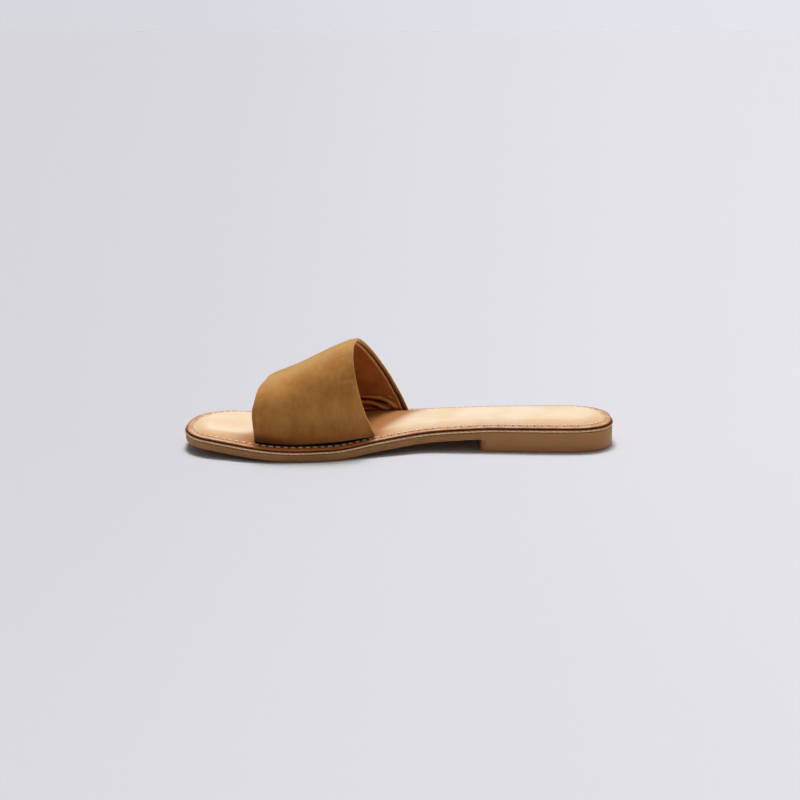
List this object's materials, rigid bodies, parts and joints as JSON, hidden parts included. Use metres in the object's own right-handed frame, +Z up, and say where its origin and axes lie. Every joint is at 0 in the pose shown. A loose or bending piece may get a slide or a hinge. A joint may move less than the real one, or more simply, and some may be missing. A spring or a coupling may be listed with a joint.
{
  "type": "mule",
  "caption": "Flat slip-on shoe with one wide padded suede band over the forefoot, a stitched leather footbed, a roped welt and a moulded sole with a low block heel.",
  "frame": {"origin": "middle of the box on the floor, under the waist of the sole", "axes": "+X from toe to heel, +Y to the outer (lateral) side of the foot, +Z up"},
  "size_m": [0.256, 0.0934, 0.0638],
  "materials": {
    "sole_rubber": "matt moulded",
    "welt_strip": "matt, roped",
    "rim_leather": "satin",
    "footbed_leather": "satin, burnished at its edge",
    "band_suede": "napped suede"
  },
  "bodies": {
    "root": {"outsole": "sole_rubber", "welt": "welt_strip", "insole": "rim_leather", "footbed": "footbed_leather", "upper": "band_suede"}
  },
  "joints": []
}
